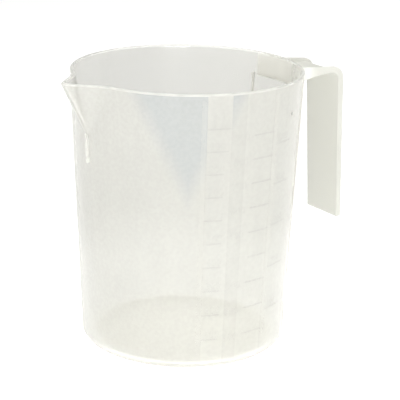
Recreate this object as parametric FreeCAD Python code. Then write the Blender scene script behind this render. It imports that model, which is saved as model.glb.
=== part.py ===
"""One-litre measuring jug with a pouring spout and an open handle, injection moulded in polypropylene.

Frame: millimetres, +Z up, origin on the jug's axis at the plane that it stands on.
+X points to the handle, -X to the spout, and the graduated panel faces -Y.
The moulding is split along its natural features, and the pieces meet face to face.
"""

import FreeCAD, Part
import math
import os

from FreeCAD import Vector

# Vessel: a round, tapering cup on a shallow foot ring
JUG_HEIGHT = 137.0
RIM_RADIUS = 57.0
BASE_RADIUS = 50.9
WALL = 1.7
FLOOR = 1.7
FOOT_RECESS = 0.6
FOOT_LAND = 3.0
FOOT_HEIGHT = 7.0
OUTER_CORNER = 4.0
INNER_CORNER = 2.6
RIM_DEPTH = 2.2

# Spout: two flat cheeks that meet in a ridge, and a short rib below it
SPOUT_REACH = 71.3
SPOUT_FOOT_Z = 107.8
SPOUT_HALF_ANGLE = 44.5
SPOUT_RIDGE_RADIUS = 3.5
SPOUT_THROAT_RADIUS = 1.9
SPOUT_LEAST_RADIUS = 0.3
SPOUT_TAIL_Z = 96.0
CHEEK_REACH = 45.0
RIB_FOOT_Z = 97.0
RIB_WIDTH = 1.8
RIB_RISE = 0.7

# Handle: a channel-shaped arm and a grip that hangs free at its lower end
ARM_TOP_Z = 133.5
ARM_SLOPE = 5.3
ARM_ROOT_Z = 124.4
ARM_ARCH = (66.5, 127.2)
ARM_CROWN = (77.6, 128.2)
GRIP_INNER_TOP = (84.3, 127.4)
GRIP_INNER_FOOT_X = 88.3
GRIP_FOOT_Z = 49.6
GRIP_DEPTH_TOP = 3.3
GRIP_DEPTH_FOOT = 3.0
HANDLE_WIDTH_ROOT = 29.0
HANDLE_WIDTH_TOP = 26.4
HANDLE_WIDTH_FOOT = 24.4
HANDLE_FLARE_X = 82.0
FLANGE = 1.8
WEB = 1.5
HANDLE_OUTER_CORNER = 6.5
HANDLE_INNER_CORNER = 4.2
ARM_GRIP_SPLIT_X = 78.6

# Stacking ribs: two fine upright ribs inside the wall, one each side of the arm
STACK_RIB_ANGLE = 17.4
STACK_RIB_WIDTH = 0.9
STACK_RIB_RISE = 0.7
STACK_RIB_Z = (106.0, 126.0)

# Graduations: raised rules, marks and numerals on the front of the wall
RELIEF = 0.35
RULE_WIDTH = 2.4
RULE_Z = (13.0, 134.0)
MARK_WIDTH = 0.7
MILLILITRE_RULE_ANGLE = -115.7
DRY_GOODS_RULE_ANGLE = -76.2
LONG_MARK, MARK, SHORT_MARK = 11.8, 10.8, 8.5
SUGAR_MARK, FLOUR_MARK = 12.0, 12.0
SUGAR_DENSITY = 0.94
FLOUR_DENSITY = 0.557
FIGURE_HEIGHT, FIGURE_STROKE = 3.8, 0.6
TOP_FIGURE_HEIGHT, TOP_FIGURE_STROKE = 7.5, 1.0
FIGURE_GAP = 1.3
FIGURE_START = 2.4
FIGURE_ASPECT = 0.58
FIGURE_PITCH = 0.78
LABEL_FIGURES = 3
LITRE = 1000
STEP = 100
SUGAR_TOP, FLOUR_TOP = 900, 500

# The strokes of an upright figure: a top, b and c right, d foot, e and f left, g middle
STROKES = {
    "0": "abcdef", "1": "bc", "2": "abged", "3": "abgcd", "4": "fgbc",
    "5": "afgcd", "6": "afgedc", "7": "abc", "8": "abcdefg", "9": "gfabcd", "L": "fed",
}

DRAFT = (RIM_RADIUS - BASE_RADIUS) / JUG_HEIGHT
FLOOR_Z = FOOT_RECESS + FLOOR
FOOT_INNER = BASE_RADIUS - OUTER_CORNER - FOOT_LAND
BEYOND = 200.0
ABOVE = 20.0
OVERLAP = 6.0
AXIS_X = Vector(1, 0, 0)
AXIS_Z = Vector(0, 0, 1)
ORIGIN = Vector(0, 0, 0)


def outer_radius(z):
    """Outer radius of the wall at height z."""
    return BASE_RADIUS + DRAFT * z


def inner_radius(z):
    """Inner radius of the wall at height z."""
    return outer_radius(z) - WALL


def level_of(volume_ml):
    """Height of the liquid's surface when the jug holds this volume."""
    r0 = inner_radius(FLOOR_Z)
    grown = 3 * DRAFT * volume_ml * 1000 / math.pi + r0**3
    return FLOOR_Z + (grown ** (1 / 3) - r0) / DRAFT


def outline(*steps):
    """A closed face in the XZ plane. A step is a point, or an arc's middle and end points in a tuple."""
    edges = []
    start = last = Vector(steps[0][0], 0, steps[0][1])
    for step in steps[1:]:
        if isinstance(step[0], tuple):
            middle, end = (Vector(x, 0, z) for x, z in step)
            edges.append(Part.Arc(last, middle, end).toShape())
        else:
            end = Vector(step[0], 0, step[1])
            edges.append(Part.makeLine(last, end))
        last = end
    edges.append(Part.makeLine(last, start))
    return Part.Face(Part.Wire(edges))


def turned(face):
    """The solid that a face in the XZ plane sweeps about the jug's axis."""
    return face.revolve(ORIGIN, AXIS_Z, 360)


def across(face):
    """A face in the XZ plane, thickened far both ways along Y."""
    moved = face.copy()
    moved.translate(Vector(0, -BEYOND, 0))
    return moved.extrude(Vector(0, 2 * BEYOND, 0))


def cone(extra=0.0, low=0.0, high=JUG_HEIGHT):
    """A solid cone frustum that stands this much outside the wall's outer surface."""
    return Part.makeCone(
        outer_radius(low) + extra, outer_radius(high) + extra, high - low, Vector(0, 0, low)
    )


def skin(rise, low, high):
    """The thin layer just outside the wall."""
    return cone(rise, low, high).cut(cone(0.0, low, high))


def fillet_points(corner, before, after, radius):
    """Start, middle and end of the arc that rounds a corner of an outline."""
    c, b, a = (Vector(x, 0, z) for x, z in (corner, before, after))
    u = (b - c).normalize()
    v = (a - c).normalize()
    half = u.getAngle(v) / 2
    to_tangent = radius / math.tan(half)
    centre = c + (u + v).normalize() * (radius / math.sin(half))
    middle = centre + (c - centre).normalize() * radius
    return [(p.x, p.z) for p in (c + u * to_tangent, middle, c + v * to_tangent)]


# ---------------------------------------------------------------- vessel


def make_foot_ring():
    """The bottom corner of the jug and the ring that it stands on."""
    out = fillet_points(
        (BASE_RADIUS, 0), (outer_radius(FOOT_HEIGHT), FOOT_HEIGHT), (0, 0), OUTER_CORNER
    )
    inside = fillet_points(
        (inner_radius(FLOOR_Z), FLOOR_Z), (0, FLOOR_Z),
        (inner_radius(FOOT_HEIGHT), FOOT_HEIGHT), INNER_CORNER,
    )
    return turned(outline(
        (inner_radius(FOOT_HEIGHT), FOOT_HEIGHT), (outer_radius(FOOT_HEIGHT), FOOT_HEIGHT),
        out[0], (out[1], out[2]), (FOOT_INNER, 0), (FOOT_INNER, FLOOR_Z),
        inside[0], (inside[1], inside[2]),
    ))


def make_floor():
    """The thin floor inside the foot ring, clear of the table."""
    return Part.makeCylinder(FOOT_INNER, FLOOR, Vector(0, 0, FOOT_RECESS))


def make_wall():
    """The tapering wall between the foot ring and the rim, open at the spout."""
    low, high = FOOT_HEIGHT, JUG_HEIGHT - RIM_DEPTH
    ring = turned(outline(
        (inner_radius(low), low), (outer_radius(low), low),
        (outer_radius(high), high), (inner_radius(high), high),
    ))
    return ring.cut(spout_bore())


def make_rim():
    """The rounded lip of the wall, open at the spout."""
    low, shoulder = JUG_HEIGHT - RIM_DEPTH, JUG_HEIGHT - WALL / 2
    ring = turned(outline(
        (inner_radius(low), low), (outer_radius(low), low), (outer_radius(shoulder), shoulder),
        ((outer_radius(shoulder) - WALL / 2, JUG_HEIGHT), (inner_radius(shoulder), shoulder)),
    ))
    return ring.cut(spout_bore())


# ---------------------------------------------------------------- spout


def spout_wedge(inset, ridge_radius, above):
    """The V-shaped wedge between the cheeks, set in by a wall, with a rounded ridge, cut off above."""
    half = math.radians(SPOUT_HALF_ANGLE)
    lean = (SPOUT_REACH - outer_radius(SPOUT_FOOT_Z)) / (JUG_HEIGHT - SPOUT_FOOT_Z)
    level_inset = inset * math.sqrt(1 + (lean * math.sin(half)) ** 2)
    sharpening = (ridge_radius - SPOUT_LEAST_RADIUS) / (JUG_HEIGHT - SPOUT_TAIL_Z)

    def section(z):
        """The wedge's level outline: it keeps its angle, leans inwards and sharpens downwards."""
        ridge_x = -SPOUT_REACH + level_inset / math.sin(half) + lean * (JUG_HEIGHT - z)
        reach = CHEEK_REACH + lean * above
        far = (ridge_x + reach * math.cos(half), reach * math.sin(half))
        radius = SPOUT_LEAST_RADIUS + sharpening * (z - SPOUT_TAIL_Z)
        tip = fillet_points((ridge_x, 0), (far[0], -far[1]), far, radius)
        face = outline((far[0], -far[1]), tip[0], (tip[1], tip[2]), far)
        face.rotate(ORIGIN, AXIS_X, -90)
        face.translate(Vector(0, 0, z))
        return face.OuterWire

    return Part.makeLoft([section(JUG_HEIGHT + above), section(SPOUT_TAIL_Z)], True, True)


def spout_bore():
    """The open space between the cheeks."""
    return spout_wedge(WALL, SPOUT_THROAT_RADIUS, ABOVE)


def make_spout():
    """The beak that stands out from the wall."""
    return spout_wedge(0.0, SPOUT_RIDGE_RADIUS, 0.0).cut(cone()).cut(spout_bore())


def make_spout_rib():
    """The short upright rib under the spout's ridge."""
    high = SPOUT_FOOT_Z + OVERLAP
    corner = Vector(-BEYOND, -RIB_WIDTH / 2, RIB_FOOT_Z)
    bar = Part.makeBox(BEYOND, RIB_WIDTH, high - RIB_FOOT_Z, corner)
    rib = bar.common(skin(RIB_RISE, RIB_FOOT_Z, high))
    return rib.cut(spout_wedge(0.0, SPOUT_RIDGE_RADIUS, 0.0))


# ---------------------------------------------------------------- handle


def handle_outlines():
    """Side views of the whole handle and of its web, which lines the hand's side of it."""
    root_x = inner_radius(ARM_ROOT_Z)
    fall = math.tan(math.radians(ARM_SLOPE))
    root_top = (root_x, ARM_TOP_Z + fall * (RIM_RADIUS - root_x))
    inner_top, inner_foot = GRIP_INNER_TOP, (GRIP_INNER_FOOT_X, GRIP_FOOT_Z)
    grip_lean = (inner_foot[0] - inner_top[0]) / (inner_foot[1] - inner_top[1])
    outer_top_x = inner_top[0] + GRIP_DEPTH_TOP
    outer_foot = (inner_foot[0] + GRIP_DEPTH_FOOT, GRIP_FOOT_Z)
    corner = (outer_top_x, ARM_TOP_Z - fall * (outer_top_x - RIM_RADIUS))
    knee = (inner_top[0] + grip_lean * (ARM_CROWN[1] - inner_top[1]), ARM_CROWN[1])

    outside = fillet_points(corner, root_top, outer_foot, HANDLE_OUTER_CORNER)
    inside = fillet_points(knee, inner_foot, ARM_CROWN, HANDLE_INNER_CORNER)
    web_knee = (knee[0] + WEB, knee[1] + WEB)
    web_foot = (inner_foot[0] + WEB, GRIP_FOOT_Z)
    web_crown = (ARM_CROWN[0], ARM_CROWN[1] + WEB)
    web_bend = fillet_points(web_knee, web_crown, web_foot, HANDLE_INNER_CORNER + WEB)
    under_root = (root_x, ARM_ROOT_Z)
    underside = (inside[0], (inside[1], inside[2]), ARM_CROWN, (ARM_ARCH, under_root))

    whole = outline(root_top, outside[0], (outside[1], outside[2]), outer_foot, inner_foot, *underside)
    web = outline(
        (root_x, under_root[1] + WEB), ((ARM_ARCH[0], ARM_ARCH[1] + WEB), web_crown),
        web_bend[0], (web_bend[1], web_bend[2]), web_foot, inner_foot, *underside,
    )
    return whole, web


def handle_envelope(inset):
    """The handle's tapering width as a solid, less this much at each side. It flares to the wall."""
    top_z = ARM_TOP_Z + OVERLAP
    taper = (HANDLE_WIDTH_TOP - HANDLE_WIDTH_FOOT) / (ARM_CROWN[1] - GRIP_FOOT_Z) / 2
    foot_z = GRIP_FOOT_Z - OVERLAP
    top = HANDLE_WIDTH_TOP / 2 + taper * (top_z - ARM_CROWN[1]) - inset
    foot = HANDLE_WIDTH_FOOT / 2 - taper * (GRIP_FOOT_Z - foot_z) - inset
    root = top + (HANDLE_WIDTH_ROOT - HANDLE_WIDTH_TOP) / 2
    near_x = inner_radius(ARM_ROOT_Z)

    def level(z, at_root, at_grip):
        """The level outline at height z."""
        sides = [(near_x, at_root), (HANDLE_FLARE_X, at_grip), (BEYOND, at_grip)]
        ring = [Vector(x, y, z) for x, y in sides] + [Vector(x, -y, z) for x, y in reversed(sides)]
        return Part.makePolygon(ring + ring[:1])

    return Part.makeLoft([level(foot_z, foot + root - top, foot), level(top_z, root, top)], True, True)


def make_handle():
    """The handle's web, split into arm and grip, and its two side flanges."""
    whole, web = handle_outlines()
    between = handle_envelope(FLANGE)
    cup = cone(0.0, 0.0, JUG_HEIGHT + ABOVE)
    web_plate = across(web).common(between).cut(cup)
    towards_wall = Part.makeBox(ARM_GRIP_SPLIT_X, 2 * BEYOND, BEYOND, Vector(0, -BEYOND, 0))
    rails = across(whole).common(handle_envelope(0.0)).cut(between).cut(cup)
    right, left = sorted(rails.Solids, key=lambda s: s.CenterOfMass.y)
    return {
        "handle_arm": web_plate.common(towards_wall),
        "handle_grip": web_plate.cut(towards_wall),
        "handle_flange_left": left,
        "handle_flange_right": right,
    }


def make_stacking_ribs():
    """Fine upright ribs inside the wall that keep nested jugs from jamming."""
    low, high = STACK_RIB_Z
    lining = turned(outline(
        (inner_radius(low) - STACK_RIB_RISE, low), (inner_radius(low), low),
        (inner_radius(high), high), (inner_radius(high) - STACK_RIB_RISE, high),
    ))
    ribs = []
    for angle in (-STACK_RIB_ANGLE, STACK_RIB_ANGLE):
        bar = Part.makeBox(BEYOND, STACK_RIB_WIDTH, high - low, Vector(0, -STACK_RIB_WIDTH / 2, low))
        bar.rotate(ORIGIN, AXIS_Z, angle)
        ribs.append(bar.common(lining))
    return Part.makeCompound(ribs)


# ---------------------------------------------------------------- graduations


def relief_bar(angle, width, low, high):
    """A raised bar on the wall, centred on an angle, between two heights."""
    bar = Part.makeBox(BEYOND, width, high - low, Vector(0, -width / 2, low))
    bar.rotate(ORIGIN, AXIS_Z, angle)
    return bar.common(skin(RELIEF, low, high))


def make_rule(angle):
    """A raised upright line, from which the marks of a scale start."""
    return relief_bar(angle, RULE_WIDTH, *RULE_Z)


def make_marks(angle, side, marks):
    """Raised marks on one side of a rule, whose lower edges stand at these volumes."""
    bars = []
    for volume, length in marks:
        z = level_of(volume)
        middle = angle + side * math.degrees((RULE_WIDTH + length) / 2 / outer_radius(z))
        bars.append(relief_bar(middle, length, z, z + MARK_WIDTH))
    return Part.makeCompound(bars)


def figure_block(symbol, height, stroke):
    """One figure of straight strokes, upright in the XZ plane from the origin, and far too deep."""
    width = FIGURE_ASPECT * height
    half = (height - stroke) / 2
    places = {
        "a": (0, height - stroke, width, stroke),
        "b": (width - stroke, half, stroke, half + stroke),
        "c": (width - stroke, 0, stroke, half + stroke),
        "d": (0, 0, width, stroke),
        "e": (0, 0, stroke, half + stroke),
        "f": (0, half, stroke, half + stroke),
        "g": (0, half, width, stroke),
    }
    strokes = [places[letter] for letter in STROKES[symbol]]
    bars = [Part.makeBox(w, BEYOND, h, Vector(x, 0, z)) for x, z, w, h in strokes]
    return (bars[0].fuse(bars[1:]) if len(bars) > 1 else bars[0]).removeSplitter()


def make_numerals(angle, side, labels, height, stroke, lift):
    """Raised figures beside or above the marks. Each label starts a set distance from an angle."""
    advance = FIGURE_PITCH * height
    half_width = FIGURE_ASPECT * height / 2
    figures = []
    for volume, text, offset in labels:
        z = level_of(volume) + lift
        layer = skin(RELIEF, z - stroke, z + height + stroke)
        for place, symbol in enumerate(text):
            along = side * offset + place * advance + half_width
            solid = figure_block(symbol, height, stroke)
            solid.translate(Vector(-half_width, -BEYOND, z))
            solid.rotate(ORIGIN, AXIS_Z, angle + 90 + math.degrees(along / outer_radius(z)))
            figures.extend(solid.common(layer).Solids)
    return Part.makeCompound(figures)


def make_scales():
    """A millilitre scale, and a second rule with sugar on its left and flour on its right."""
    lengths = {LITRE: LONG_MARK, LITRE - STEP: MARK}
    volumes = range(LITRE, 0, -STEP)
    sugar = {grams: grams / SUGAR_DENSITY for grams in range(STEP, SUGAR_TOP + 1, STEP)}
    flour = {grams: grams / FLOUR_DENSITY for grams in range(STEP, FLOUR_TOP + 1, STEP)}
    beyond_marks = SUGAR_MARK + RULE_WIDTH + LABEL_FIGURES * FIGURE_PITCH * FIGURE_HEIGHT
    ml_labels = [(ml, str(ml), FIGURE_START) for ml in volumes if ml < LITRE]
    sugar_labels = [(ml, str(grams), beyond_marks) for grams, ml in sugar.items()]
    flour_labels = [(ml, str(grams), FIGURE_START) for grams, ml in flour.items()]
    ml_marks = [(ml, lengths.get(ml, SHORT_MARK)) for ml in volumes]
    plain = (FIGURE_HEIGHT, FIGURE_STROKE)
    large = (TOP_FIGURE_HEIGHT, TOP_FIGURE_STROKE)
    beside = -FIGURE_HEIGHT / 2
    ml_rule, dry_rule = MILLILITRE_RULE_ANGLE, DRY_GOODS_RULE_ANGLE
    return {
        "millilitre_rule": make_rule(ml_rule),
        "millilitre_marks": make_marks(ml_rule, 1, ml_marks),
        "millilitre_numerals": make_numerals(ml_rule, 1, ml_labels, *plain, FIGURE_GAP),
        "litre_figure": make_numerals(ml_rule, 1, [(LITRE, "1L", FIGURE_START)], *large, FIGURE_GAP),
        "dry_goods_rule": make_rule(dry_rule),
        "sugar_marks": make_marks(dry_rule, -1, [(ml, SUGAR_MARK) for ml in sugar.values()]),
        "sugar_numerals": make_numerals(dry_rule, -1, sugar_labels, *plain, beside),
        "flour_marks": make_marks(dry_rule, 1, [(ml, FLOUR_MARK) for ml in flour.values()]),
        "flour_numerals": make_numerals(dry_rule, 1, flour_labels, *plain, FIGURE_GAP),
    }


def main():
    """Make every piece and write one STEP file for each."""
    pieces = {
        "foot_ring": make_foot_ring(),
        "vessel_floor": make_floor(),
        "vessel_wall": make_wall(),
        "rim": make_rim(),
        "pouring_spout": make_spout(),
        "spout_rib": make_spout_rib(),
        "stacking_ribs": make_stacking_ribs(),
        **make_handle(),
        **make_scales(),
    }
    os.makedirs("parts", exist_ok=True)
    for name, shape in pieces.items():
        shape.exportStep(f"parts/{name}.step")
        print(name, len(shape.Solids), "solids", round(shape.Volume, 1), "mm3", shape.isValid())
    print("one litre stands at", round(level_of(LITRE), 1), "mm")


main()
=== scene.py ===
import math

import bpy
import numpy as np
from mathutils import Matrix, Vector


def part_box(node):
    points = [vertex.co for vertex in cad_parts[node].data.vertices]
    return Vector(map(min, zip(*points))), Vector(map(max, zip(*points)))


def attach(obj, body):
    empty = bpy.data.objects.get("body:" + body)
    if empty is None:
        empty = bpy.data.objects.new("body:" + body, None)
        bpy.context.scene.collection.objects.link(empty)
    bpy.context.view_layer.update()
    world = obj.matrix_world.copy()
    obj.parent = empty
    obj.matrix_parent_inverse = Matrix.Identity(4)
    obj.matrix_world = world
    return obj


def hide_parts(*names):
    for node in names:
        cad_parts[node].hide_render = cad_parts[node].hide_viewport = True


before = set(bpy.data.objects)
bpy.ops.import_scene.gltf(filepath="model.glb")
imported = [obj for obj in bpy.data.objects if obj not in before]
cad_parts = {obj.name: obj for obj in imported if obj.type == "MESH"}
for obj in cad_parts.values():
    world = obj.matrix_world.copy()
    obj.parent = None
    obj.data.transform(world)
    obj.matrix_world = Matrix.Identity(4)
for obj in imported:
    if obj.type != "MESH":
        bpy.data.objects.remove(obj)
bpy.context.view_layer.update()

bl_info = {
    "name": "Measuring Jug",
    "version": (1, 0, 0),
    "blender": (4, 5, 0),
    "location": "View3D > Sidebar > Jug",
    "description": "Builds a one-litre measuring jug in natural polypropylene around its CAD frame",
    "category": "Object",
}

MM = 0.001
BODY = "root"
LITRE, STEP = 1000, 100
SUGAR_GRAMS = range(STEP, 901, STEP)
FLOUR_GRAMS = range(STEP, 501, STEP)

# The soft boxes: name, place and width in metres, and power in watts.
SOFT_BOXES = (
    ("right_light", (0.9, -0.7, 0.8), 0.9, 5.0),
    ("left_light", (-1.2, -0.5, 0.6), 0.9, 7.0),
    ("overhead_light", (0.0, 0.0, 1.3), 0.9, 8.0),
    ("front_light", (-0.5, -1.2, 0.1), 0.6, 13.5),
    ("side_light", (1.2, 0.0, 0.6), 0.2, 3.0),
)

# An edge counts as sharp where its faces turn by more than this, in degrees; on the cup by more still.
SHARP, CUP_SHARP = 35.0, 40.0

SENSOR_WIDTH = 36.0
CLIP_START, CLIP_END = 0.01, 50.0

# Angles round the axis, in degrees, between which the two frosted panels lie.
LEFT_PANEL, RIGHT_PANEL = (-114.2, -102.3), (-94.6, -78.0)


def linear(hex_colour):
    """A linear colour with alpha from an sRGB hex value."""
    parts = [int(hex_colour[i:i + 2], 16) / 255 for i in (1, 3, 5)]
    return tuple(c / 12.92 if c <= 0.04045 else ((c + 0.055) / 1.055) ** 2.4 for c in parts) + (1.0,)


def length(name, millimetres, description):
    """A length property in metres, with its default given in millimetres."""
    return bpy.props.FloatProperty(
        name=name, description=description, default=millimetres * MM, min=0.0, unit="LENGTH",
        subtype="DISTANCE", precision=5,
    )


def angle(name, degrees, description):
    """An angle property, with its default given in degrees."""
    return bpy.props.FloatProperty(
        name=name, description=description, default=math.radians(degrees), unit="ROTATION", subtype="ANGLE",
    )


def share(name, part, description):
    """A share property, from nothing to one."""
    return bpy.props.FloatProperty(
        name=name, description=description, default=part, min=0.0, max=1.0, subtype="FACTOR",
    )


def colour(name, hex_colour, description):
    """A colour property, with its default given as an sRGB hex value."""
    return bpy.props.FloatVectorProperty(
        name=name, description=description, default=linear(hex_colour), size=4, min=0.0, max=1.0,
        subtype="COLOR",
    )


# ---------------------------------------------------------------- what the frame fixes

FOOT_BOX, WALL_BOX, RIM_BOX = (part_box(n) for n in ("foot_ring", "vessel_wall", "rim"))
FLOOR_BOX, SPOUT_BOX, SPOUT_RIB_BOX = (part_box(n) for n in ("vessel_floor", "pouring_spout", "spout_rib"))
GRIP_BOX, ARM_BOX, FLANGE_BOX = (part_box(n) for n in ("handle_grip", "handle_arm", "handle_flange_left"))
STACK_RIBS_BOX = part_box("stacking_ribs")

HEIGHT = RIM_BOX[1].z
DRAFT = (WALL_BOX[1].y - FOOT_BOX[1].y) / (WALL_BOX[1].z - FOOT_BOX[1].z)
BASE_RADIUS = FOOT_BOX[1].y - DRAFT * FOOT_BOX[1].z
WALL = FLOOR_BOX[1].z - FLOOR_BOX[0].z
FLOOR_TOP, FOOT_RECESS = FLOOR_BOX[1].z, FLOOR_BOX[0].z
SPOUT_TIP = -SPOUT_BOX[0].x
ARM_HALF_ANGLE = math.degrees(math.asin(FLANGE_BOX[1].y / (WALL_BOX[1].y - WALL)))


def outer_radius(z):
    """Outer radius of the wall at height z."""
    return BASE_RADIUS + DRAFT * z


def inner_radius(z):
    """Inner radius of the wall at height z."""
    return outer_radius(z) - WALL


def level_of(millilitres):
    """Height of the liquid's surface when the jug holds this volume."""
    bottom = inner_radius(FLOOR_TOP)
    cubed = 3 * DRAFT * millilitres * 1e-6 / math.pi + bottom**3
    return FLOOR_TOP + (cubed ** (1 / 3) - bottom) / DRAFT


def on_wall(around, z):
    """A place on the wall's outside, by its angle round the axis and its height."""
    return outer_radius(z) * math.cos(around), outer_radius(z) * math.sin(around), z


# ---------------------------------------------------------------- sizes and colours


class JugVesselSizes(bpy.types.PropertyGroup):
    """Sizes of the cup"""

    outer_corner: length("Outer corner", 4.0, "Radius between the wall and the foot")
    inner_corner: length("Inner corner", 2.6, "Radius between the wall and the floor inside")
    small_edge: length("Small edge", 0.35, "Radius on the foot ring's inner edge")
    segments: bpy.props.IntProperty(
        name="Segments", description="Steps round the cup", default=480, min=48,
    )
    row_gap: length("Row gap", 1.6, "Height of a row of faces where the spout stands out")
    wall_rows: bpy.props.IntProperty(
        name="Wall rows", description="Rows of faces below the spout", default=12, min=1,
    )


class JugSpoutSizes(bpy.types.PropertyGroup):
    """Sizes of the pouring spout"""

    foot: length("Foot", 107.8, "Height at which the sharp ridge would leave the wall")
    tail: length("Tail", 96.0, "Height at which the ridge is at its sharpest")
    half_angle: angle("Half angle", 44.5, "Angle between each cheek and the middle of the spout")
    ridge: length("Ridge", 3.5, "Radius of the ridge at the rim")
    throat: length("Throat", 1.9, "Radius inside the spout at the rim")
    least: length("Least radius", 0.3, "Radius of the ridge at its tail")
    blend: length("Blend", 1.6, "How far the cheeks blend into the wall")
    # Painted highlight: the whiter line along the spout's ridge.
    crease: length("Crease", 1.0, "Half the width of the whiter line along the ridge")


class JugHandleSizes(bpy.types.PropertyGroup):
    """Sizes of the handle, a channel open outwards"""

    arm_top: length("Arm top", 133.5, "Height of the flanges where the arm leaves the rim")
    arm_slope: angle("Arm slope", 5.3, "Fall of the arm's top towards the grip")
    root_height: length("Root height", 124.4, "Height of the arm's underside at the wall")
    arch_x: length("Arch place", 66.5, "Distance of the arch's middle from the jug's axis")
    arch_z: length("Arch height", 127.2, "Height of the underside at the arch's middle")
    crown_x: length("Crown place", 77.6, "Distance of the underside's crown from the jug's axis")
    crown_z: length("Crown height", 128.2, "Height of the underside's crown")
    grip_x: length("Grip place", 84.3, "Distance of the grip's inner face from the axis, at its top")
    grip_z: length("Grip top", 127.4, "Height at which that distance is taken")
    grip_foot_x: length("Grip foot place", 88.3, "Distance of that face from the axis, at the grip's foot")
    depth_top: length("Depth at top", 3.3, "Depth of the grip's flanges at their top")
    depth_foot: length("Depth at foot", 3.0, "Depth of the grip's flanges at their foot")
    width_root: length("Width at root", 29.0, "Width of the arm where it meets the wall")
    width_top: length("Width at top", 26.4, "Width of the grip at its top")
    width_foot: length("Width at foot", 24.4, "Width of the grip at its foot")
    flare_x: length("Flare", 82.0, "Distance from the axis at which the arm starts to widen")
    flange: length("Flange", 1.8, "Thickness of the flanges")
    web: length("Web", 1.5, "Thickness of the web")
    outer_corner: length("Outer corner", 6.5, "Radius outside the bend")
    inner_corner: length("Inner corner", 4.2, "Radius inside the bend")
    edge: length("Edge", 0.4, "Rounding of the edges")


class JugRibSizes(bpy.types.PropertyGroup):
    """Sizes of the ribs"""

    stack_angle: angle("Stacking rib angle", 17.4, "Angle of each stacking rib from the handle's middle")
    stack_width: length("Stacking rib width", 0.9, "Width of a stacking rib")
    stack_rise: length("Stacking rib rise", 0.7, "How far a stacking rib stands into the cup")
    edge: length("Edge", 0.2, "Rounding of the ribs' edges")


class JugScaleSizes(bpy.types.PropertyGroup):
    """Sizes of the raised graduations"""

    relief: length("Relief", 0.35, "How far the graduations stand out")
    sunk: length("Sunk", 0.25, "How far they reach into the wall")
    edge: length("Edge", 0.18, "Rounding of their edges")
    rule_width: length("Rule width", 2.4, "Width of an upright rule")
    mark_width: length("Mark width", 0.7, "Width of a level mark")
    long_mark: length("Long mark", 11.8, "Length of the one-litre mark")
    mark: length("Mark", 10.8, "Length of the mark below it")
    short_mark: length("Short mark", 8.5, "Length of the other millilitre marks")
    weight_mark: length("Weight mark", 12.0, "Length of the sugar and flour marks")
    figure: length("Figure", 3.8, "Height of a figure")
    litre_figure: length("Litre figure", 7.5, "Height of the one-litre figure")
    figure_gap: length("Figure gap", 1.3, "Gap between a mark and its figure")
    figure_start: length("Figure start", 2.4, "Gap between a rule and its figures")
    label_width: length("Label width", 9.4, "Width of three figures")
    figure_share: bpy.props.FloatProperty(
        name="Figure share", description="A figure's height over the font's size", default=0.729, min=0.1,
    )
    sugar: bpy.props.FloatProperty(
        name="Sugar", description="Grams of sugar in a millilitre", default=0.94, min=0.1,
    )
    flour: bpy.props.FloatProperty(
        name="Flour", description="Grams of flour in a millilitre", default=0.557, min=0.1,
    )


class JugFinishSizes(bpy.types.PropertyGroup):
    """How milky, clear and smooth the moulding's plastic is, and where the V of painted shade and the speck
    lie
    """

    outside: share("Outside", 0.36, "Milky share of the wall's outside")
    inside: share("Inside", 0.13, "Milky share of the wall's inside")
    floor: share("Floor", 0.6, "Milky share of the floor")
    # Partly thick plastic, partly painted highlight: the lip, the foot and the spout's ridge are milkier.
    edge: share("Edge", 0.45, "Milky share of the lip, the foot and the spout's ridge")
    panel: share("Panel", 0.035, "How much milkier the frosted panels are")
    # Painted shade: the V between the panels is made clearer and blue-grey, so it looks darker.
    field: share("Field", 0.05, "How much clearer the field between them is")
    brim: share("Brim", 0.5, "How much milkier the wall is seen edge on")
    # Partly the thicker plastic where the arm joins, partly painted light.
    joint: share("Joint", 0.6, "How much milkier the wall is where the arm joins it")
    handle: share("Handle", 0.15, "Share of light that passes straight through the handle")
    # Painted light: the root lets more of the white behind it through, so it looks lit.
    root: share("Root", 0.4, "The same share at the handle's root")
    rule: share("Rule", 0.13, "Veil of the upright rules")
    mark: share("Mark", 0.14, "Veil of the level marks")
    figure: share("Figure", 0.05, "Veil of the figures")
    spout_rib: share("Spout rib", 0.4, "Veil of the rib under the spout")
    stacking_rib: share("Stacking rib", 0.9, "Veil of the stacking ribs")
    haze: share("Haze", 0.08, "Roughness of the clear plastic")
    satin: share("Satin", 0.3, "Roughness of the handle")
    # Painted shade: where the V's point lies, on the front that faces the camera.
    field_angle: angle("Field angle", -122.7, "Angle round the axis of the clear field's point")
    field_foot: length("Field foot", 85.0, "Height of the clear field's point")
    speck_angle: angle("Speck angle", -62.1, "Angle round the axis of a dark speck in the wall")
    speck_height: length("Speck height", 121.7, "Height of the speck")


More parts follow.
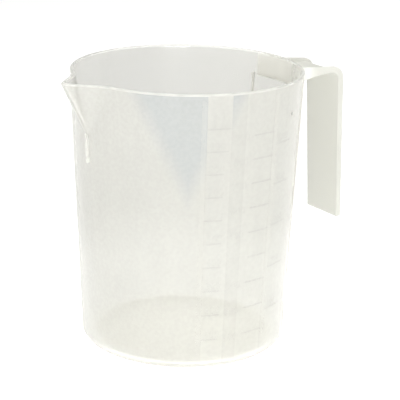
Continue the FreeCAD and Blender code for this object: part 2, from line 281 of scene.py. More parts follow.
class JugColours(bpy.types.PropertyGroup):
    """Colours of the moulding and the stage"""

    cream: colour("Cream", "#F6F5EF", "The milky share of natural polypropylene")
    # Painted shade: the blue-grey of the V between the panels.
    cool: colour("Cool", "#DEE5E9", "The milky share where the wall is clearest")
    clear: colour("Clear", "#EFEFED", "The clear share of natural polypropylene")
    # Painted shade: a darker grey than the outside's clear share, so the inside of the cup looks less lit.
    core: colour("Core", "#D8D8D6", "The clear share where light leaves the wall inside")
    # Partly thick plastic, partly painted highlight: a whiter colour for the lip, the foot and the spout's
    # ridge.
    edge: colour("Edge", "#FBFBF6", "The lip and the foot, where the plastic is thickest")
    handle: colour("Handle", "#E4E4DE", "The handle's plastic")
    # Painted light: a whiter copy of the handle's plastic at its root, standing in for light scattering
    # through it.
    root: colour("Root", "#FBFBF7", "The handle's plastic where it joins the wall")
    speck: colour("Speck", "#A2A49E", "A small dark speck in the wall")
    # Painted shade: a grey for the level marks, standing in for the shade along their lower edges; the
    # figures take it too.
    mark: colour("Mark", "#B9BDB9", "The marks, which are the darkest of the graduations")
    floor: colour("Floor", "#C8C8C6", "The studio floor")


class JugStageSizes(bpy.types.PropertyGroup):
    """Camera and light"""

    distance: length("Distance", 694.9, "Level distance from the camera to the jug's axis")
    rise: length("Rise", 289.5, "Height of the camera above the floor")
    bearing: angle("Bearing", 34.0, "Turn of the camera from the graduated front towards the spout")
    tilt: angle("Tilt", 17.553, "How far the camera looks down")
    aim: angle("Aim", 0.618, "How far the camera looks past the axis, to its right")
    roll: angle("Roll", 1.26, "Roll of the camera")
    floor: length("Floor", 12000.0, "Width of the studio floor")
    surroundings: bpy.props.FloatProperty(
        name="Surroundings", description="Strength of the white surroundings", default=0.5, min=0.0,
    )
    lens: bpy.props.FloatProperty(
        name="Lens", description="Focal length for a 36 mm sensor", default=131.35, unit="CAMERA",
    )


# ---------------------------------------------------------------- modelling by hand


def edit(piece):
    """Opens one piece in edit mode, with nothing selected."""
    if bpy.context.mode != "OBJECT":
        bpy.ops.object.mode_set(mode="OBJECT")
    bpy.ops.object.select_all(action="DESELECT")
    bpy.context.view_layer.objects.active = piece
    piece.select_set(True)
    bpy.ops.object.mode_set(mode="EDIT")
    bpy.ops.mesh.select_all(action="DESELECT")


def close(piece):
    """Leaves edit mode."""
    bpy.ops.object.mode_set(mode="OBJECT")
    return piece


def add(name, primitive, **settings):
    """A new primitive under this name, open in edit mode and selected all over."""
    bpy.ops.object.select_all(action="DESELECT")
    primitive(**settings)
    piece = bpy.context.object
    piece.name = piece.data.name = name
    edit(piece)
    bpy.ops.mesh.select_all(action="SELECT")
    return piece


def draw(name, points):
    """A wire through these points: one vertex, extruded from point to point."""
    piece = add(name, bpy.ops.mesh.primitive_plane_add, size=MM)
    bpy.ops.mesh.merge(type="CENTER")
    bpy.ops.transform.translate(value=points[0])
    for here, there in zip(points, points[1:]):
        step = Vector(there) - Vector(here)
        bpy.ops.mesh.extrude_vertices_move(TRANSFORM_OT_translate={"value": step})
    bpy.ops.mesh.select_all(action="SELECT")
    return piece


def tidy(piece, gap=1e-6):
    """Merges what meets, and turns all faces outwards."""
    edit(piece)
    bpy.ops.mesh.select_all(action="SELECT")
    bpy.ops.mesh.remove_doubles(threshold=gap)
    bpy.ops.mesh.normals_make_consistent(inside=False)
    return close(piece)


def modify(piece, kind, **settings):
    """Adds a modifier and applies it."""
    bpy.ops.object.select_all(action="DESELECT")
    bpy.context.view_layer.objects.active = piece
    piece.select_set(True)
    modifier = piece.modifiers.new(kind.title(), kind)
    for key, value in settings.items():
        setattr(modifier, key, value)
    bpy.ops.object.modifier_apply(modifier=modifier.name)
    return piece


def cut(piece, tool):
    """Cuts a tool's shape out of a piece, and removes the tool."""
    modify(piece, "BOOLEAN", operation="DIFFERENCE", object=tool, solver="EXACT")
    bpy.data.objects.remove(tool)
    return piece


def smooth(piece, limit):
    """Smooth shading, with sharp edges kept where faces turn by more than the limit."""
    bpy.ops.object.select_all(action="DESELECT")
    bpy.context.view_layer.objects.active = piece
    piece.select_set(True)
    bpy.ops.object.shade_smooth_by_angle(angle=math.radians(limit))
    return piece


def join(name, pieces):
    """One piece from several."""
    bpy.ops.object.select_all(action="DESELECT")
    for piece in pieces:
        piece.select_set(True)
    bpy.context.view_layer.objects.active = pieces[0]
    if len(pieces) > 1:
        bpy.ops.object.join()
    pieces[0].name = pieces[0].data.name = name
    return pieces[0]


def reshape(piece, move):
    """Moves every vertex to where the function sends the array of places."""
    places = np.empty(len(piece.data.vertices) * 3)
    piece.data.vertices.foreach_get("co", places)
    piece.data.vertices.foreach_set("co", move(places.reshape(-1, 3)).ravel())
    piece.data.update()
    return piece


def arc(centre, radius, start, end, steps):
    """Points of an arc in a plane, from one angle in degrees to another."""
    turns = [math.radians(start + (end - start) * i / steps) for i in range(steps + 1)]
    return [(centre[0] + radius * math.cos(t), centre[1] + radius * math.sin(t)) for t in turns]


def round_corner(corner, before, after, radius, steps=10):
    """Points of the arc that rounds a corner of an outline."""
    c, b, a = Vector(corner), Vector(before), Vector(after)
    u, v = (b - c).normalized(), (a - c).normalized()
    half = u.angle(v) / 2
    centre = c + (u + v).normalized() * (radius / math.sin(half))
    start = c + u * (radius / math.tan(half)) - centre
    turn = start.angle_signed(c + v * (radius / math.tan(half)) - centre)
    points = []
    for i in range(steps + 1):
        spot = start.copy()
        spot.rotate(Matrix.Rotation(-turn * i / steps, 2))
        points.append(tuple(centre + spot))
    return points


def bow(first, middle, last, steps=12):
    """Points of the parabola through three points, evenly spaced along X."""
    (ax, ay), (bx, by), (cx, cy) = first, middle, last
    points = []
    for i in range(steps + 1):
        x = ax + (cx - ax) * i / steps
        points.append((x, (
            ay * (x - bx) * (x - cx) / ((ax - bx) * (ax - cx))
            + by * (x - ax) * (x - cx) / ((bx - ax) * (bx - cx))
            + cy * (x - ax) * (x - bx) / ((cx - ax) * (cx - bx))
        )))
    return points


# ---------------------------------------------------------------- materials

IOR = 1.49                  # polypropylene
NOISE_SPAN = (0.3, 0.7)     # most of what a noise gives lies between these
SOFT_TURN = 0.006           # half the width of a panel's edge, in radians
SHADE_SPREAD = 9.6          # radians of the painted shade's half width for each metre above its point
SHADE_EDGE = (-0.08, 0.16)  # its soft edge, in radians
DRAWN_OUT = (1, 1, 0.04)    # a flow streak is 25 times as long as it is wide
EDGE_ON = (0.75, 1.0)       # how far a face has turned from the eye when it counts as seen edge on
SPECK_EDGE = (0.5 * MM, 1.2 * MM)
SIDE_TURN = (math.radians(48), math.radians(54))    # where the inside stops being a shade milkier
SIDE_SHADE = 0.04
ROOT_LIGHT_SPAN, ROOT_CLEAR_SPAN = (0.062, 0.072), (0.058, 0.066)  # metres from the axis, where the root ends and its painted light with it
GLOW_SPAN, GLOW = (0.10, 0.22), (0.9, 0.5)  # metres from the jug's middle, and the paper's glow there


def add_node(tree, kind, links=(), **settings):
    """Adds a node, sets its properties and inputs, and links outputs to its inputs."""
    node = tree.nodes.new(kind)
    for key, value in settings.items():
        if hasattr(node, key):
            setattr(node, key, value)
        else:
            node.inputs[key.replace("_", " ")].default_value = value
    for target, source in dict(links).items():
        if isinstance(source, bpy.types.NodeSocket):
            tree.links.new(source, node.inputs[target])
        else:
            node.inputs[target].default_value = source
    return node


def new_material(name):
    """An empty node material."""
    material = bpy.data.materials.new(name)
    material.use_nodes = True
    material.node_tree.nodes.clear()
    return material, material.node_tree


def combine(tree, operation, first, second=0.0):
    """The output of one sum; a number or an output may stand on either side."""
    return add_node(tree, "ShaderNodeMath", {0: first, 1: second}, operation=operation).outputs[0]


def total(tree, *values):
    """The sum of several values."""
    result = values[0]
    for value in values[1:]:
        result = combine(tree, "ADD", result, value)
    return result


def rise(tree, value, start, end, low=0.0, high=1.0):
    """A smooth step from a low value to a high one, while another value goes from start to end."""
    return add_node(
        tree, "ShaderNodeMapRange", {"Value": value}, interpolation_type="SMOOTHSTEP",
        From_Min=start, From_Max=end, To_Min=low, To_Max=high,
    ).outputs[0]


def object_place(tree):
    """The object's own coordinates."""
    return add_node(tree, "ShaderNodeTexCoord").outputs["Object"]


def round_jug(tree, place):
    """The angle round the jug's axis in radians, and the height in metres."""
    parts = add_node(tree, "ShaderNodeSeparateXYZ", {0: place})
    return combine(tree, "ARCTAN2", parts.outputs["Y"], parts.outputs["X"]), parts.outputs["Z"]


def noise(tree, place, millimetres, detail=2.0):
    """Noise whose lumps are about this wide."""
    return add_node(
        tree, "ShaderNodeTexNoise", {"Vector": place}, Scale=1 / (millimetres * MM), Detail=detail,
    ).outputs[0]


def flow_streaks(tree, place, millimetres):
    """Noise drawn out upwards, as the melt ran up the wall."""
    drawn = add_node(tree, "ShaderNodeMapping", {0: place}, Scale=DRAWN_OUT)
    return noise(tree, drawn.outputs[0], millimetres, 1.0)


def vary(tree, pattern, middle, reach):
    """A value that follows a noise, up and down from its middle."""
    return rise(tree, pattern, *NOISE_SPAN, middle - reach, middle + reach)


def grain(tree, place, millimetres, depth):
    """Bump of a fine grain, as spark erosion leaves it on a mould."""
    lumps = noise(tree, place, millimetres)
    return add_node(tree, "ShaderNodeBump", {"Height": lumps}, Strength=0.6, Distance=depth * MM).outputs[0]


def between(tree, turn, first, last):
    """One between two angles given in degrees, and nothing elsewhere."""
    start, end = math.radians(first), math.radians(last)
    return combine(
        tree, "MULTIPLY", rise(tree, turn, start - SOFT_TURN, start + SOFT_TURN),
        rise(tree, turn, end - SOFT_TURN, end + SOFT_TURN, 1.0, 0.0),
    )


def mixed_colour(tree, part, first, second):
    """One colour turning into another."""
    return add_node(tree, "ShaderNodeMix", {0: part, 6: first, 7: second}, data_type="RGBA").outputs[2]


def clear_part(tree, tint, haze):
    """The clear share of the plastic: it bends and mirrors light as polypropylene does."""
    return add_node(
        tree, "ShaderNodeBsdfPrincipled", Base_Color=tint, Roughness=haze, IOR=IOR, Transmission_Weight=1.0,
    ).outputs[0]


def milky_part(tree, tint, bump):
    """The milky share: crystals in the plastic scatter half the light back and half through."""
    back = add_node(tree, "ShaderNodeBsdfDiffuse", {"Color": tint, "Normal": bump})
    ahead = add_node(tree, "ShaderNodeBsdfTranslucent", {"Color": tint, "Normal": bump})
    both = {1: back.outputs[0], 2: ahead.outputs[0]}
    return add_node(tree, "ShaderNodeMixShader", both, Fac=0.5).outputs[0]


def finish_material(tree, part, first, second):
    """Ends a material with two shaders, mixed by a part that may vary."""
    both = add_node(tree, "ShaderNodeMixShader", {0: part, 1: first, 2: second})
    add_node(tree, "ShaderNodeOutputMaterial", {0: both.outputs[0]})


def polypropylene_outside(colours, finishes):
    """Natural polypropylene, moulded against polished steel with two spark-eroded panels.

    It gives the eye a clear wall with a milky veil, frosted behind the scales, denser at its edges, with
    painted shade: a clearer, blue-grey V between the panels.
    """
    material, tree = new_material("polypropylene_outside")
    place = object_place(tree)
    turn, height = round_jug(tree, place)
    cloud = vary(tree, noise(tree, place, 22.0), 0.0, 0.006)
    streak = vary(tree, flow_streaks(tree, place, 5.0), 0.0, 0.004)
    mottle = vary(tree, noise(tree, place, 1.7), finishes.outside, 0.01)
    panels = combine(tree, "ADD", between(tree, turn, *LEFT_PANEL), between(tree, turn, *RIGHT_PANEL))
    # Painted shade: a V between the panels, clearer and blue-grey.
    field = clear_field(tree, turn, height, finishes)
    field = combine(tree, "MULTIPLY", field, rise(tree, panels, 0.0, 1.0, 1.0, 0.0))
    edge_on = add_node(tree, "ShaderNodeLayerWeight", Blend=0.5).outputs["Facing"]
    milk = total(
        tree, cloud, streak, mottle, rise(tree, edge_on, *EDGE_ON, 0.0, finishes.brim),
        rise(tree, panels, 0.0, 1.0, 0.0, finishes.panel), rise(tree, field, 0.0, 1.0, 0.0, -finishes.field),
    )
    speck = on_wall(finishes.speck_angle, finishes.speck_height)
    away = add_node(tree, "ShaderNodeVectorMath", {0: place, 1: speck}, operation="DISTANCE").outputs["Value"]
    # Painted shade: blue-grey in the V.
    tint = mixed_colour(tree, field, colours.cream, colours.cool)
    tint = mixed_colour(tree, rise(tree, away, *SPECK_EDGE, 1.0, 0.0), tint, colours.speck)
    clear = clear_part(tree, colours.clear, finishes.haze)
    finish_material(tree, milk, clear, milky_part(tree, tint, grain(tree, place, 0.9, 0.03)))
    return material


def clear_field(tree, turn, height, finishes):
    """One in the V of painted shade that widens upwards from its point, and nothing elsewhere."""
    aside = combine(tree, "ABSOLUTE", combine(tree, "SUBTRACT", turn, finishes.field_angle))
    above = combine(tree, "SUBTRACT", height, finishes.field_foot)
    reach = combine(tree, "MULTIPLY", above, SHADE_SPREAD)
    return rise(tree, combine(tree, "SUBTRACT", reach, aside), *SHADE_EDGE)


def polypropylene_inside(colours, finishes):
    """Natural polypropylene, moulded over a polished core.

    It gives the eye faint upright streaks, a shade more milk on the handle's side, and a white patch
    where the arm doubles the wall, which is partly thicker plastic and partly painted light.
    """
    material, tree = new_material("polypropylene_inside")
    place = object_place(tree)
    turn, height = round_jug(tree, place)
    streak = vary(tree, flow_streaks(tree, place, 14.0), finishes.inside, 0.03)
    side = rise(tree, turn, *SIDE_TURN, SIDE_SHADE, -SIDE_SHADE)
    # Partly painted light: a whiter patch on the inside where the arm joins the wall.
    joint = combine(
        tree, "MULTIPLY", between(tree, turn, -ARM_HALF_ANGLE, ARM_HALF_ANGLE),
        rise(tree, height, ARM_BOX[0].z, ARM_BOX[0].z + MM, 0.0, finishes.joint),
    )
    # Painted shade: the inside's clear share is darker than the outside's.
    clear = clear_part(tree, colours.core, finishes.haze)
    milky = milky_part(tree, colours.cream, grain(tree, place, 1.2, 0.02))
    finish_material(tree, total(tree, streak, side, joint), clear, milky)
    return material


def polypropylene_edge(colours, finishes):
    """Natural polypropylene, rounded and thick.

    It gives the eye the whiter lines of the lip, the foot and the spout's ridge: partly thick plastic, partly
    painted highlight.
    """
    material, tree = new_material("polypropylene_edge")
    place = object_place(tree)
    cloud = vary(tree, noise(tree, place, 8.0), finishes.edge, 0.05)
    clear = clear_part(tree, colours.clear, finishes.haze)
    finish_material(tree, cloud, clear, milky_part(tree, colours.edge, grain(tree, place, 1.2, 0.01)))
    return material


def polypropylene_floor(colours, finishes):
    """Natural polypropylene, slow to cool round the gate.

    It gives the eye a thick floor with soft clouds in it.
    """
    material, tree = new_material("polypropylene_floor")
    place = object_place(tree)
    cloud = vary(tree, noise(tree, place, 14.0, 3.0), finishes.floor, 0.1)
    clear = clear_part(tree, colours.clear, finishes.haze)
    finish_material(tree, cloud, clear, milky_part(tree, colours.cream, grain(tree, place, 1.2, 0.03)))
    return material


def polypropylene_handle(colours, finishes):
    """Natural polypropylene, satin.

    It gives the eye a nearly solid handle with soft gloss, with painted light at its root, which is whiter
    and clearer.
    """
    material, tree = new_material("polypropylene_handle")
    place = object_place(tree)
    bump = grain(tree, place, 0.9, 0.03)
    along = add_node(tree, "ShaderNodeSeparateXYZ", {0: place}).outputs["X"]
    # Painted light: whiter towards the root.
    tint = mixed_colour(tree, rise(tree, along, *ROOT_LIGHT_SPAN), colours.root, colours.handle)
    skin = add_node(
        tree, "ShaderNodeBsdfPrincipled", {"Base Color": tint, "Normal": bump}, Roughness=finishes.satin,
        IOR=IOR,
    )
    ahead = add_node(tree, "ShaderNodeBsdfTranslucent", {"Color": tint, "Normal": bump})
    cloud = vary(tree, noise(tree, place, 16.0), 0.44, 0.06)
    solid = add_node(tree, "ShaderNodeMixShader", {0: cloud, 1: skin.outputs[0], 2: ahead.outputs[0]})
    clear = add_node(tree, "ShaderNodeBsdfTransparent", Color=colours.clear)
    # Painted light: clearer towards the root.
    through = rise(tree, along, *ROOT_CLEAR_SPAN, finishes.root, finishes.handle)
    finish_material(tree, through, solid.outputs[0], clear.outputs[0])
    return material


def polypropylene_relief(name, tint, veil):
    """Natural polypropylene, raised a few tenths of a millimetre.

    It gives the eye no more than a faint veil over the wall behind it.
    """
    material, tree = new_material(name)
    place = object_place(tree)
    cloud = vary(tree, noise(tree, place, 6.0), veil, veil * 0.2)
    clear = add_node(tree, "ShaderNodeBsdfTransparent", Color=(1, 1, 1, 1))
    finish_material(tree, cloud, clear.outputs[0], milky_part(tree, tint, grain(tree, place, 0.9, 0.03)))
    return material


def studio_paper(colours):
    """Pale matt paper that glows softly, most of all under the jug.

    It gives the eye a white ground without hard shadows.
    """
    material, tree = new_material("studio_paper")
    place = object_place(tree)
    away = add_node(tree, "ShaderNodeVectorMath", {0: place}, operation="LENGTH").outputs["Value"]
    glow = rise(tree, away, *GLOW_SPAN, *GLOW)
    body = add_node(
        tree, "ShaderNodeBsdfPrincipled", {"Emission Strength": glow}, Base_Color=colours.floor,
        Roughness=0.9, Emission_Color=(1, 1, 1, 1),
    )
    add_node(tree, "ShaderNodeOutputMaterial", {0: body.outputs[0]})
    return material


# ---------------------------------------------------------------- pieces


def finish_piece(piece, slot, *nodes):
    """Puts a finished piece into the frame under its body, and hides the CAD nodes it stands for; the slot is
    not used.
    """
    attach(piece, BODY)
    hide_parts(*nodes)


class JUG_OT_vessel(bpy.types.Operator):
    """Turns the cup and pulls out its spout"""

    bl_idname = "jug.vessel"
    bl_label = "Vessel"

    def execute(self, context):
        sizes, spout = context.scene.jug_vessel, context.scene.jug_spout
        piece = draw("vessel", [(x, 0, z) for x, z in self.section(sizes, spout)])
        bpy.ops.mesh.spin(steps=sizes.segments, angle=math.tau, center=(0, 0, 0), axis=(0, 0, 1))
        close(piece)
        tidy(piece)
        for finish in (polypropylene_outside, polypropylene_inside, polypropylene_floor, polypropylene_edge):
            piece.data.materials.append(finish(context.scene.jug_colours, context.scene.jug_finishes))
        for face in piece.data.polygons:
            face.material_index = self.finish_of(*face.center, spout)
        reshape(piece, lambda places: self.pull_spout(places, spout))
        smooth(piece, CUP_SHARP)
        finish_piece(piece, "vessel", "foot_ring", "vessel_floor", "vessel_wall", "rim", "pouring_spout")
        return {"FINISHED"}

    def finish_of(self, x, y, z, spout):
        """The number of the finish that a face has, by its middle, before the spout is pulled out."""
        outside, inside, floor, edge = range(4)
        radius = math.hypot(x, y)
        if z < FLOOR_TOP + MM / 10 and radius < FLOOR_BOX[1].y:
            return floor
        within = radius < outer_radius(z) - WALL / 2 and z > FLOOR_TOP - WALL / 2
        # Partly painted highlight: the lip, the foot and the faces along the spout's ridge take the whiter
        # edge finish.
        on_ridge_highlight = abs(y) < spout.crease and x < 0 and z > SPOUT_RIB_BOX[1].z and not within
        if z > HEIGHT - WALL / 2 or z < FOOT_RECESS or on_ridge_highlight:
            return edge
        return inside if within else outside

    def section(self, sizes, spout):
        """Half of the cup's section, from the middle of the floor's underside round to its top."""
        land = FLOOR_BOX[1].y
        below = FLOOR_BOX[0].z
        edge = sizes.small_edge
        foot = [(0, below), (land / 2, below), (land - 2 * edge, below), (land, below - edge / 2),
                (land + edge / 2, edge / 3), (land + edge * 1.5, 0)]
        lean = math.degrees(math.atan(DRAFT))
        corner = round_corner(
            (BASE_RADIUS, 0), (0, 0), (outer_radius(HEIGHT), HEIGHT), sizes.outer_corner
        )
        tail = spout.tail
        low = corner[-1][1]
        rows = [low + (tail - low) * i / sizes.wall_rows for i in range(1, sizes.wall_rows)]
        top = HEIGHT - WALL / 2
        count = math.ceil((top - tail) / sizes.row_gap)
        rows += [tail + (top - tail) * i / count for i in range(count)]
        outside = [(outer_radius(z), z) for z in rows]
        lip = arc((outer_radius(top) - WALL / 2, top), WALL / 2, -lean, 180 - lean, 10)
        inside_corner = round_corner(
            (inner_radius(FLOOR_TOP), FLOOR_TOP), (inner_radius(HEIGHT), HEIGHT), (0, FLOOR_TOP),
            sizes.inner_corner, 8,
        )
        inside = [(inner_radius(z), z) for z in reversed(rows)]
        floor = [(land * 0.8, FLOOR_TOP), (land * 0.4, FLOOR_TOP), (0, FLOOR_TOP)]
        return foot + corner + outside + lip + inside + inside_corner + floor

    def pull_spout(self, places, spout):
        """Pulls the wall out to the spout's cheeks, and blends them into the wall."""
        x, y, z = places.T
        radius = np.hypot(x, y)
        away = np.abs(np.arctan2(y, -x))
        outer = outer_radius(z)
        depth = np.clip((outer - radius) / WALL, 0.0, 1.0)
        outside = self.outline(spout, away, z, 0.0, spout.ridge, outer)
        inside = self.outline(spout, away, z, WALL, spout.throat, outer - WALL)
        pulled = (1 - depth) * outside + depth * inside
        pulled = np.where(z > spout.tail - MM, pulled, radius)
        scale = pulled / np.maximum(radius, MM)
        return np.stack([x * scale, y * scale, z], axis=1)

    def outline(self, spout, away, z, inset, ridge, wall_radius):
        """Level distance from the axis to the skin, where the spout's wedge stands out of the wall."""
        half = spout.half_angle
        apex = SPOUT_TIP + spout.ridge * (1 / math.sin(half) - 1)
        lean = (apex - outer_radius(spout.foot)) / (HEIGHT - spout.foot)
        level_inset = inset * math.sqrt(1 + (lean * math.sin(half)) ** 2)
        tip = apex - level_inset / math.sin(half) - lean * (HEIGHT - z)
        radius = spout.least + (ridge - spout.least) * (z - spout.tail) / (HEIGHT - spout.tail)
        radius = np.maximum(radius, spout.least)
        cheek = tip * math.sin(half) / np.sin(np.minimum(away + half, math.pi / 2 + half))
        centre = tip - radius / math.sin(half)
        aside = np.tan(np.minimum(away, 1.0)) * (centre + radius * math.sin(half))
        in_round = aside < radius * math.cos(half)
        reach = radius**2 - (centre * np.sin(away)) ** 2
        rounded = centre * np.cos(away) + np.sqrt(np.maximum(reach, 0.0))
        wedge = np.where(in_round, rounded, cheek)
        wedge = np.where(away > math.pi / 3, 0.0, wedge)
        near = np.clip(1 - np.abs(wedge - wall_radius) / spout.blend, 0.0, 1.0)
        return np.maximum(wedge, wall_radius) + near**2 * spout.blend / 4


class JUG_OT_handle(bpy.types.Operator):
    """Extrudes the handle's side view, cuts its channel and rounds its edges"""

    bl_idname = "jug.handle"
    bl_label = "Handle"

    def execute(self, context):
        sizes = context.scene.jug_handle
        whole, channel = self.outlines(sizes)
        piece = self.block("handle", whole, sizes, 0.0)
        cut(piece, self.block("channel", channel, sizes, sizes.flange))
        modify(piece, "BEVEL", width=sizes.edge, segments=3, angle_limit=math.radians(SHARP))
        cut(piece, self.cup())
        tidy(piece)
        smooth(piece, SHARP)
        piece.data.materials.append(
            polypropylene_handle(context.scene.jug_colours, context.scene.jug_finishes)
        )
        finish_piece(
            piece, "handle", "handle_arm", "handle_grip", "handle_flange_left", "handle_flange_right"
        )
        return {"FINISHED"}

    def outlines(self, sizes):
        """Side views of the whole handle, and of the channel that its flanges stand beside."""
        root_x = inner_radius(sizes.root_height)
        foot_z, beyond = GRIP_BOX[0].z, 0.2
        fall = math.tan(sizes.arm_slope)
        rim_x = outer_radius(HEIGHT)
        root_top = (root_x, sizes.arm_top + fall * (rim_x - root_x))
        lean = (sizes.grip_foot_x - sizes.grip_x) / (foot_z - sizes.grip_z)
        outer_x = sizes.grip_x + sizes.depth_top
        outer_foot = (sizes.grip_foot_x + sizes.depth_foot, foot_z)
        corner = (outer_x, sizes.arm_top - fall * (outer_x - rim_x))
        knee = (sizes.grip_x + lean * (sizes.crown_z - sizes.grip_z), sizes.crown_z)
        inner_foot = (sizes.grip_foot_x, foot_z)
        crown = (sizes.crown_x, sizes.crown_z)
        outside = round_corner(corner, root_top, outer_foot, sizes.outer_corner)
        inside = round_corner(knee, inner_foot, crown, sizes.inner_corner, 8)
        under = bow(crown, (sizes.arch_x, sizes.arch_z), (root_x, sizes.root_height))
        whole = [root_top, *outside, outer_foot, inner_foot, *inside, *under]
        raised = [(x, z + sizes.web) for x, z in reversed(under)]
        knee_out = (knee[0] + sizes.web, knee[1] + sizes.web)
        web_foot = (sizes.grip_foot_x + sizes.web - lean * sizes.web, foot_z - sizes.web)
        bend = round_corner(knee_out, raised[-1], web_foot, sizes.inner_corner + sizes.web, 8)
        channel = [*raised, *bend, web_foot, (beyond, foot_z - sizes.web), (beyond, beyond), (root_x, beyond)]
        return whole, channel

    def block(self, name, points, sizes, inset):
        """A side view made solid, as wide as the handle less an inset at each side."""
        piece = draw(name, [(x, 0, z) for x, z in points])
        bpy.ops.mesh.edge_face_add()
        bpy.ops.transform.translate(value=(0, -1, 0))
        bpy.ops.mesh.extrude_region_move(TRANSFORM_OT_translate={"value": (0, 2, 0)})
        bpy.ops.mesh.select_all(action="SELECT")
        bpy.ops.mesh.bisect(plane_co=(sizes.flare_x, 0, 0), plane_no=(1, 0, 0))
        close(piece)
        reshape(piece, lambda places: self.widen(places, sizes, inset))
        return tidy(piece)

    def widen(self, places, sizes, inset):
        """Moves each side out to the handle's width, which tapers downwards and flares to the wall."""
        x, y, z = places.T
        taper = (sizes.width_top - sizes.width_foot) / (sizes.crown_z - GRIP_BOX[0].z)
        flare = np.clip((sizes.flare_x - x) / (sizes.flare_x - inner_radius(sizes.root_height)), 0, None)
        width = sizes.width_top + taper * (z - sizes.crown_z) + (sizes.width_root - sizes.width_top) * flare
        return np.stack([x, np.sign(y) * (width / 2 - inset), z], axis=1)

    def cup(self):
        """The cup up to the middle of its wall, which the handle's root stops at."""
        low, high = -WALL, HEIGHT + WALL
        piece = add(
            "cup", bpy.ops.mesh.primitive_cone_add, vertices=360, radius1=outer_radius(low) - WALL / 2,
            radius2=outer_radius(high) - WALL / 2, depth=high - low, location=(0, 0, (low + high) / 2),
        )
        return close(piece)


def bar(name, width, low, high, sizes, sunk, relief, columns=1):
    """A raised bar, laid flat: across along X, up along Y, and standing out along Z."""
    piece = add(name, bpy.ops.mesh.primitive_cube_add, size=1.0)
    bpy.ops.transform.resize(value=(width, high - low, relief + sunk))
    bpy.ops.transform.translate(value=(0, (low + high) / 2, (relief - sunk) / 2))
    for column in range(1, columns):
        bpy.ops.mesh.select_all(action="SELECT")
        place = width * (column / columns - 0.5)
        bpy.ops.mesh.bisect(plane_co=(place, 0, 0), plane_no=(1, 0, 0))
    close(piece)
    return modify(piece, "BEVEL", width=sizes.edge, segments=2, angle_limit=math.radians(SHARP))


def figures(name, text, height, x, y, sizes):
    """Raised figures, laid flat, with their lower left corner at a place."""
    bpy.ops.object.select_all(action="DESELECT")
    bpy.ops.object.text_add()
    piece = bpy.context.object
    piece.data.body = text
    piece.data.size = height / sizes.figure_share
    piece.data.resolution_u = 3
    piece.data.extrude = (sizes.relief + sizes.sunk) / 2 - sizes.edge / 2
    piece.data.bevel_depth = sizes.edge / 2
    piece.data.bevel_resolution = 1
    piece.data.offset = -sizes.edge / 2
    bpy.ops.object.convert(target="MESH")
    piece = bpy.context.object
    piece.name = piece.data.name = name
    lift = Vector((x, y, (sizes.relief - sizes.sunk) / 2))
    reshape(piece, lambda places: places + np.array(lift))
    return tidy(piece)


def wrap(piece, turn, radius=outer_radius, outwards=1):
    """Bends a flat piece round the wall: X goes round from an angle, Y up and Z outwards or inwards."""

    def bend(places):
        x, y, z = places.T
        around = turn + x / radius(y)
        reach = radius(y) + outwards * z
        return np.stack([reach * np.cos(around), reach * np.sin(around), y], axis=1)

    reshape(piece, bend)
    return tidy(piece)


def bearing_of(node):
    """The angle round the axis at which a CAD node's middle stands."""
    low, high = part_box(node)
    return math.atan2(low.y + high.y, low.x + high.x)


def finish_relief(piece, material, slot, node):
    """Shades and places a raised piece."""
    smooth(piece, SHARP)
    piece.data.materials.append(material)
    finish_piece(piece, slot, node)


def finish_scale(piece, tint, veil, node):
    """Shades and places a piece of the graduations."""
    material = polypropylene_relief(f"polypropylene_{piece.name}", tint, veil)
    finish_relief(piece, material, "graduations", node)


class JUG_OT_ribs(bpy.types.Operator):
    """Makes the rib under the spout and the two stacking ribs inside the wall"""

    bl_idname = "jug.ribs"
    bl_label = "Ribs"

    def execute(self, context):
        sizes, finishes = context.scene.jug_ribs, context.scene.jug_finishes
        # Painted light: the ribs take the whiter edge colour, so that they look lit.
        white = context.scene.jug_colours.edge
        low, high = SPOUT_RIB_BOX
        rise_out = -outer_radius(low.z) - low.x
        rib = bar("spout_rib_moulded", high.y - low.y, low.z, high.z, sizes, WALL / 2, rise_out)
        material = polypropylene_relief("polypropylene_spout_rib", white, finishes.spout_rib)
        finish_relief(wrap(rib, math.pi), material, "vessel", "spout_rib")
        low, high = STACK_RIBS_BOX
        pair = []
        for side in (-1, 1):
            rib = bar("rib", sizes.stack_width, low.z, high.z, sizes, WALL / 2, sizes.stack_rise)
            pair.append(wrap(rib, side * sizes.stack_angle, inner_radius, -1))
        ribs = tidy(join("stacking_ribs_moulded", pair))
        material = polypropylene_relief("polypropylene_stacking_ribs", white, finishes.stacking_rib)
        finish_relief(ribs, material, "vessel", "stacking_ribs")
        return {"FINISHED"}


class JUG_OT_rules(bpy.types.Operator):
    """Makes the two upright rules"""

    bl_idname = "jug.rules"
    bl_label = "Rules"

    def execute(self, context):
        sizes = context.scene.jug_scales
        for name in ("millilitre_rule", "dry_goods_rule"):
            low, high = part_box(name)
            piece = bar(
                f"{name}_moulded", sizes.rule_width, low.z, high.z, sizes, sizes.sunk, sizes.relief, 4
            )
            wrap(piece, bearing_of(name))
            finish_scale(piece, context.scene.jug_colours.cream, context.scene.jug_finishes.rule, name)
        return {"FINISHED"}


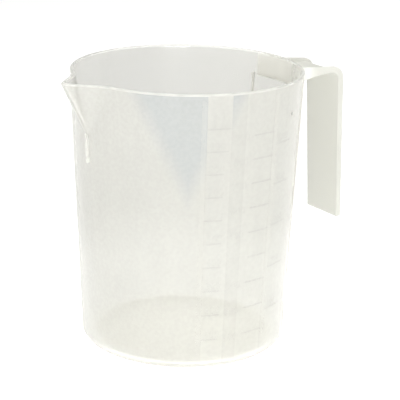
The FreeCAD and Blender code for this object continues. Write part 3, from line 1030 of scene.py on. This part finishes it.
class JUG_OT_marks(bpy.types.Operator):
    """Makes the level marks of the three scales"""

    bl_idname = "jug.marks"
    bl_label = "Marks"

    def execute(self, context):
        sizes = context.scene.jug_scales
        lengths = {LITRE: sizes.long_mark, LITRE - STEP: sizes.mark}
        millilitres = {ml: lengths.get(ml, sizes.short_mark) for ml in range(STEP, LITRE + 1, STEP)}
        sugar = {grams / sizes.sugar: sizes.weight_mark for grams in SUGAR_GRAMS}
        flour = {grams / sizes.flour: sizes.weight_mark for grams in FLOUR_GRAMS}
        self.marks(context, "millilitre_marks", "millilitre_rule", 1, millilitres)
        self.marks(context, "sugar_marks", "dry_goods_rule", -1, sugar)
        self.marks(context, "flour_marks", "dry_goods_rule", 1, flour)
        return {"FINISHED"}

    def marks(self, context, node, rule, side, marks):
        """One scale's marks, on one side of a rule."""
        sizes = context.scene.jug_scales
        bars = []
        for millilitres, across in marks.items():
            low = level_of(millilitres)
            piece = bar(
                "mark", across, low, low + sizes.mark_width, sizes, sizes.sunk, sizes.relief, 8
            )
            shift = side * (sizes.rule_width + across) / 2
            reshape(piece, lambda places, shift=shift: places + np.array([shift, 0, 0]))
            bars.append(piece)
        piece = wrap(join(f"{node}_moulded", bars), bearing_of(rule))
        # Painted shade: the marks take the grey mark colour.
        finish_scale(piece, context.scene.jug_colours.mark, context.scene.jug_finishes.mark, node)


class JUG_OT_numerals(bpy.types.Operator):
    """Makes the figures of the three scales"""

    bl_idname = "jug.numerals"
    bl_label = "Numerals"

    def execute(self, context):
        sizes = context.scene.jug_scales
        start, gap = sizes.figure_start, sizes.figure_gap
        beyond = sizes.weight_mark + sizes.rule_width + sizes.label_width
        beside = -sizes.figure / 2
        labels = [(level_of(ml) + gap, str(ml), start) for ml in range(STEP, LITRE, STEP)]
        self.numerals(context, "millilitre_numerals", "millilitre_rule", labels, sizes.figure)
        litre = [(level_of(LITRE) + gap, "1L", start)]
        self.numerals(context, "litre_figure", "millilitre_rule", litre, sizes.litre_figure)
        sugar = [(level_of(grams / sizes.sugar) + beside, str(grams), -beyond) for grams in SUGAR_GRAMS]
        self.numerals(context, "sugar_numerals", "dry_goods_rule", sugar, sizes.figure)
        flour = [(level_of(grams / sizes.flour) + gap, str(grams), start) for grams in FLOUR_GRAMS]
        self.numerals(context, "flour_numerals", "dry_goods_rule", flour, sizes.figure)
        return {"FINISHED"}

    def numerals(self, context, node, rule, labels, height):
        """One scale's figures."""
        sizes = context.scene.jug_scales
        made = [figures("figure", text, height, x, z, sizes) for z, text, x in labels]
        piece = wrap(join(f"{node}_moulded", made), bearing_of(rule))
        # The figures take the same grey of painted shade.
        finish_scale(piece, context.scene.jug_colours.mark, context.scene.jug_finishes.figure, node)


class JUG_OT_stage(bpy.types.Operator):
    """Sets the floor, the lights and the camera"""

    bl_idname = "jug.stage"
    bl_label = "Stage"

    def execute(self, context):
        scene, stage = context.scene, context.scene.jug_stage
        floor = add("studio_floor", bpy.ops.mesh.primitive_plane_add, size=stage.floor)
        close(floor)
        floor.data.materials.append(studio_paper(scene.jug_colours))
        scene.world = bpy.data.worlds.new("soft_studio")
        scene.world.use_nodes = True
        surroundings = scene.world.node_tree.nodes["Background"]
        surroundings.inputs["Color"].default_value = (1, 1, 1, 1)
        surroundings.inputs["Strength"].default_value = stage.surroundings
        for name, place, size, power in SOFT_BOXES:
            bpy.ops.object.light_add(type="AREA", location=place)
            box = bpy.context.object
            box.name = name
            box.data.size = size
            box.data.energy = power
            towards = Vector((0, 0, HEIGHT / 2)) - box.location
            box.rotation_euler = towards.to_track_quat("-Z", "Y").to_euler()
        bpy.ops.object.camera_add()
        camera = bpy.context.object
        camera.name = "camera"
        camera.data.lens = stage.lens
        camera.data.sensor_width = SENSOR_WIDTH
        camera.data.clip_start, camera.data.clip_end = CLIP_START, CLIP_END
        turn = Matrix.Rotation(-stage.bearing, 4, "Z")
        look = (Matrix.Rotation(-stage.aim, 4, "Z") @ Matrix.Rotation(math.pi / 2 - stage.tilt, 4, "X")
                @ Matrix.Rotation(stage.roll, 4, "Z"))
        camera.matrix_world = turn @ Matrix.Translation((0, -stage.distance, stage.rise)) @ look
        scene.camera = camera
        scene.view_settings.view_transform = "Standard"
        return {"FINISHED"}


class JUG_PT_panel(bpy.types.Panel):
    """Lists the jug's pieces"""

    bl_label = "Measuring Jug"
    bl_idname = "JUG_PT_panel"
    bl_space_type = "VIEW_3D"
    bl_region_type = "UI"
    bl_category = "Jug"

    def draw(self, context):
        for operator in OPERATORS:
            self.layout.operator(operator.bl_idname)


SETTINGS = {
    "jug_vessel": JugVesselSizes,
    "jug_spout": JugSpoutSizes,
    "jug_handle": JugHandleSizes,
    "jug_ribs": JugRibSizes,
    "jug_scales": JugScaleSizes,
    "jug_finishes": JugFinishSizes,
    "jug_colours": JugColours,
    "jug_stage": JugStageSizes,
}
OPERATORS = (
    JUG_OT_vessel, JUG_OT_handle, JUG_OT_ribs, JUG_OT_rules, JUG_OT_marks, JUG_OT_numerals, JUG_OT_stage,
)


def register():
    """Registers the classes and hangs the settings on the scene."""
    for cls in (*SETTINGS.values(), *OPERATORS, JUG_PT_panel):
        bpy.utils.register_class(cls)
    for name, group in SETTINGS.items():
        setattr(bpy.types.Scene, name, bpy.props.PointerProperty(type=group))


def unregister():
    """Takes the settings and the classes away again."""
    for name in SETTINGS:
        delattr(bpy.types.Scene, name)
    for cls in reversed((*SETTINGS.values(), *OPERATORS, JUG_PT_panel)):
        bpy.utils.unregister_class(cls)


def main():
    """Builds the jug and its stage."""
    register()
    for operator in OPERATORS:
        family, name = operator.bl_idname.split(".")
        getattr(getattr(bpy.ops, family), name)()


if __name__ == "__main__":
    main()
